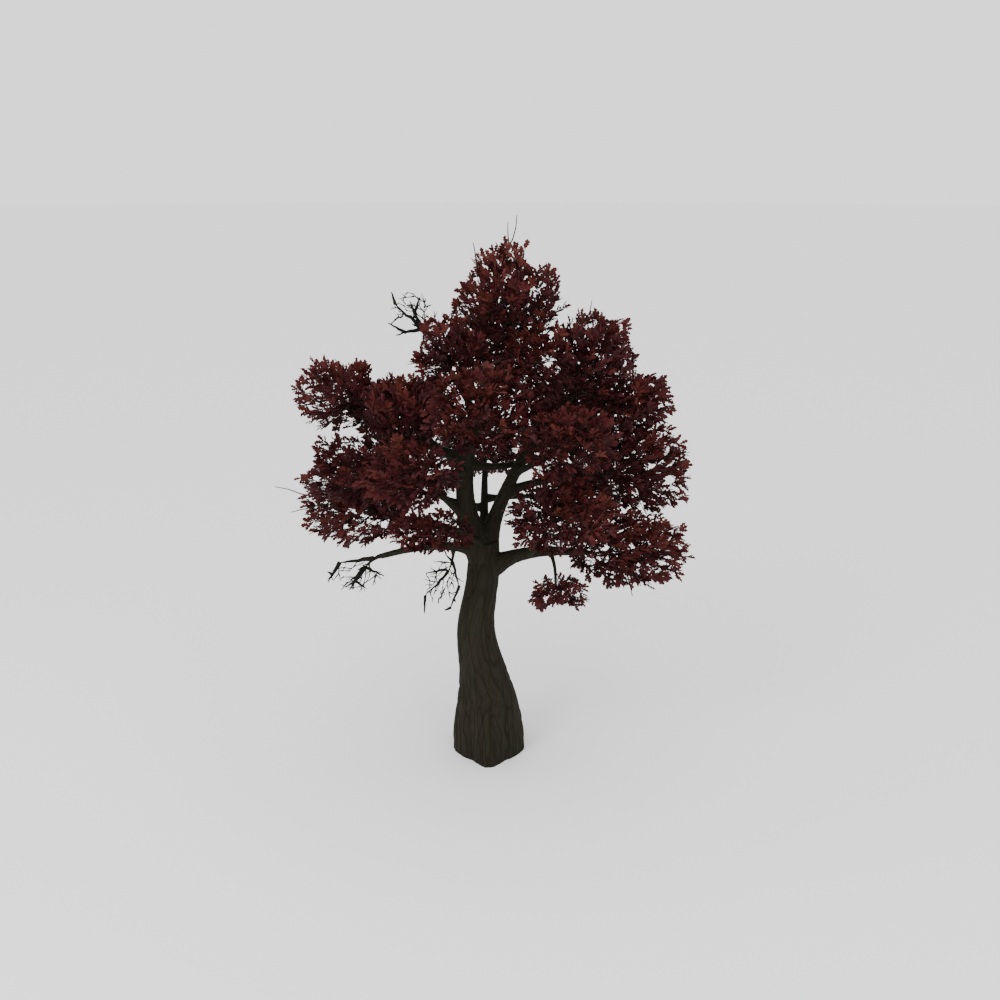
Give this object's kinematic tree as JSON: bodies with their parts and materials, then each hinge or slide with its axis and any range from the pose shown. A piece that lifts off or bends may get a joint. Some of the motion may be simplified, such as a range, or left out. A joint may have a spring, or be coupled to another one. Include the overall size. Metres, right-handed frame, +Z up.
{
  "type": "oak tree",
  "caption": "Oak in dark red autumn leaf with a stout, swaying, flared trunk, a broad crown of separate masses and bare dead limbs.",
  "frame": {"origin": "centre of the trunk's flat cut at ground level", "axes": "+Z straight up the tree, +X to the right and +Y away from someone who looks at it from the picture's side"},
  "size_m": [9.2257, 7.4996, 12.0047],
  "materials": {
    "bark": "rough, furrowed, dark olive-brown bark",
    "dead_twigs": "dull, nearly black dead wood",
    "foliage": "matt maroon to brick-red autumn leaves"
  },
  "bodies": {
    "root": {"bare_hanging": "dead_twigs", "bare_low_left": "dead_twigs", "bare_upper_left": "dead_twigs", "bough_back_left": "bark", "bough_back_left_low": "bark", "bough_back_low": "bark", "bough_back_right": "bark", "bough_back_right_low": "bark", "bough_back_top": "bark", "bough_centre_front": "bark", "bough_drop": "bark", "bough_front_left": "bark", "bough_front_low": "bark", "bough_front_right": "bark", "bough_left_beam": "bark", "bough_left_diagonal": "bark", "bough_left_low": "bark", "bough_right_beam": "bark", "bough_right_front": "bark", "bough_right_low": "bark", "bough_right_mid": "bark", "bough_right_upper": "bark", "bough_shoulder": "bark", "bough_upper_front": "bark", "bough_wing": "bark", "dead_bough_low": "bark", "dead_bough_upper": "bark", "dead_spur": "bark", "foliage_back_left": "foliage", "foliage_back_left_low": "foliage", "foliage_back_low": "foliage", "foliage_back_right": "foliage", "foliage_back_right_low": "foliage", "foliage_back_top": "foliage", "foliage_centre_front": "foliage", "foliage_centre_right": "foliage", "foliage_drop": "foliage", "foliage_front_left": "foliage", "foliage_front_low": "foliage", "foliage_front_right": "foliage", "foliage_left_low": "foliage", "foliage_left_mid": "foliage", "foliage_left_upper": "foliage", "foliage_right_front": "foliage", "foliage_right_low": "foliage", "foliage_right_mid": "foliage", "foliage_right_upper": "foliage", "foliage_shoulder": "foliage", "foliage_top": "foliage", "foliage_upper_front": "foliage", "foliage_upper_right": "foliage", "foliage_wing": "foliage", "leader": "bark", "right_stem": "bark", "trunk": "bark"}
  },
  "joints": []
}
